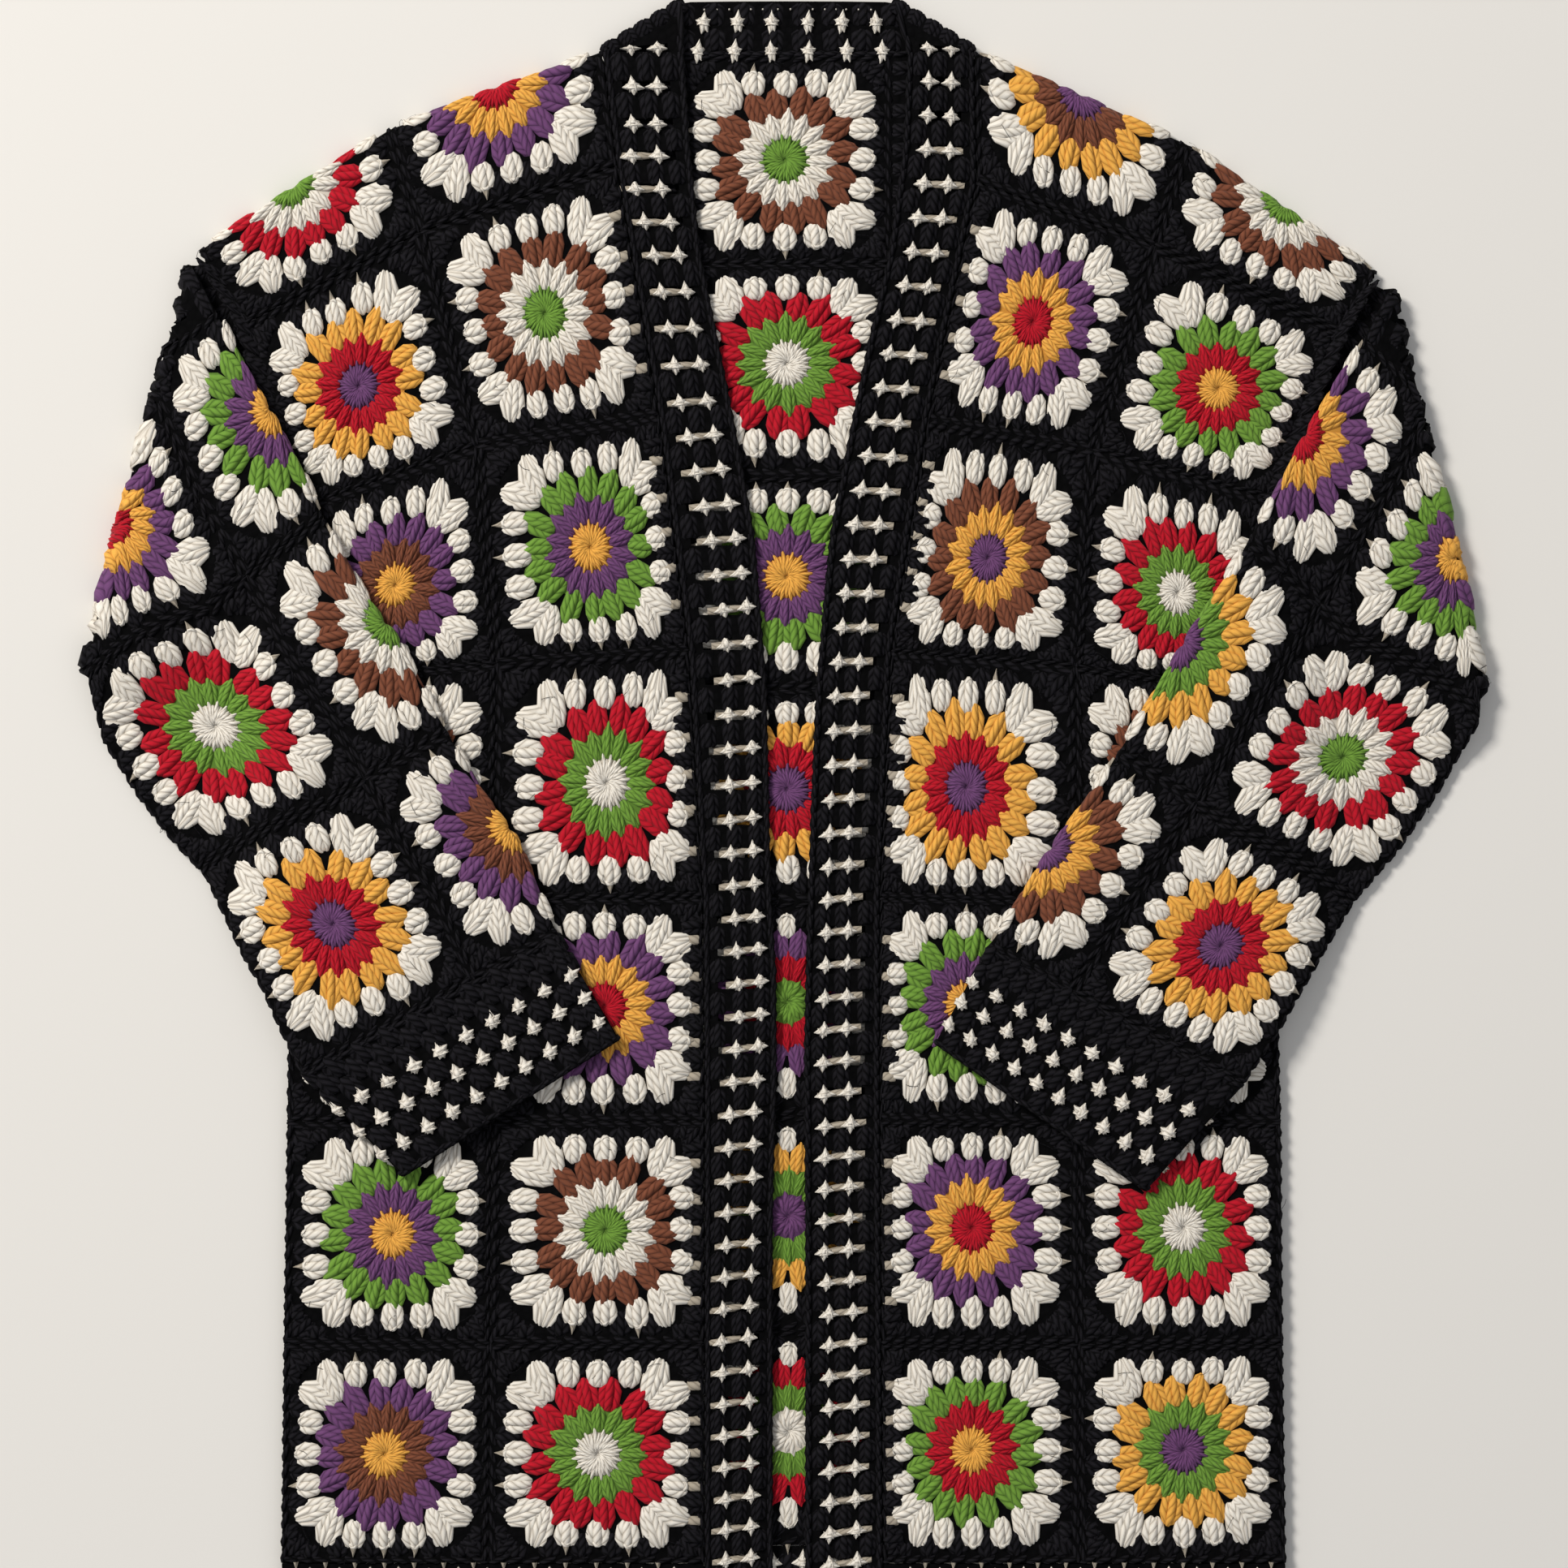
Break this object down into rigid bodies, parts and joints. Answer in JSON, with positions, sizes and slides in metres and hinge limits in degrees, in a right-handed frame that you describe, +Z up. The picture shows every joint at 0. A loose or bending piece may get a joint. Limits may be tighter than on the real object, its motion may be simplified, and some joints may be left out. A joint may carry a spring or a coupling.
{
  "type": "crochet cardigan",
  "caption": "Long open-front cardigan of crocheted colour squares edged in black, laid flat with its sleeves folded over the fronts.",
  "frame": {"origin": "centre of the footprint, on the table that the cardigan rests on", "axes": "+Y from the hem towards the neck, +X from the viewer's left to right seen from above, +Z up out of the table"},
  "size_m": [0.7808, 0.9042, 0.0177],
  "materials": {
    "yarn_body": "matte",
    "yarn_band": "matte"
  },
  "bodies": {
    "root": {"back": "yarn_body", "front_left": "yarn_body", "front_right": "yarn_body", "yoke_left": "yarn_body", "yoke_right": "yarn_body", "sleeve_left": "yarn_body", "sleeve_right": "yarn_body", "cuff_left": "yarn_band", "cuff_right": "yarn_band", "band_left": "yarn_band", "band_right": "yarn_band", "band_neck": "yarn_band", "hem_back": "yarn_band", "hem_front_left": "yarn_band", "hem_front_right": "yarn_band"}
  },
  "joints": []
}
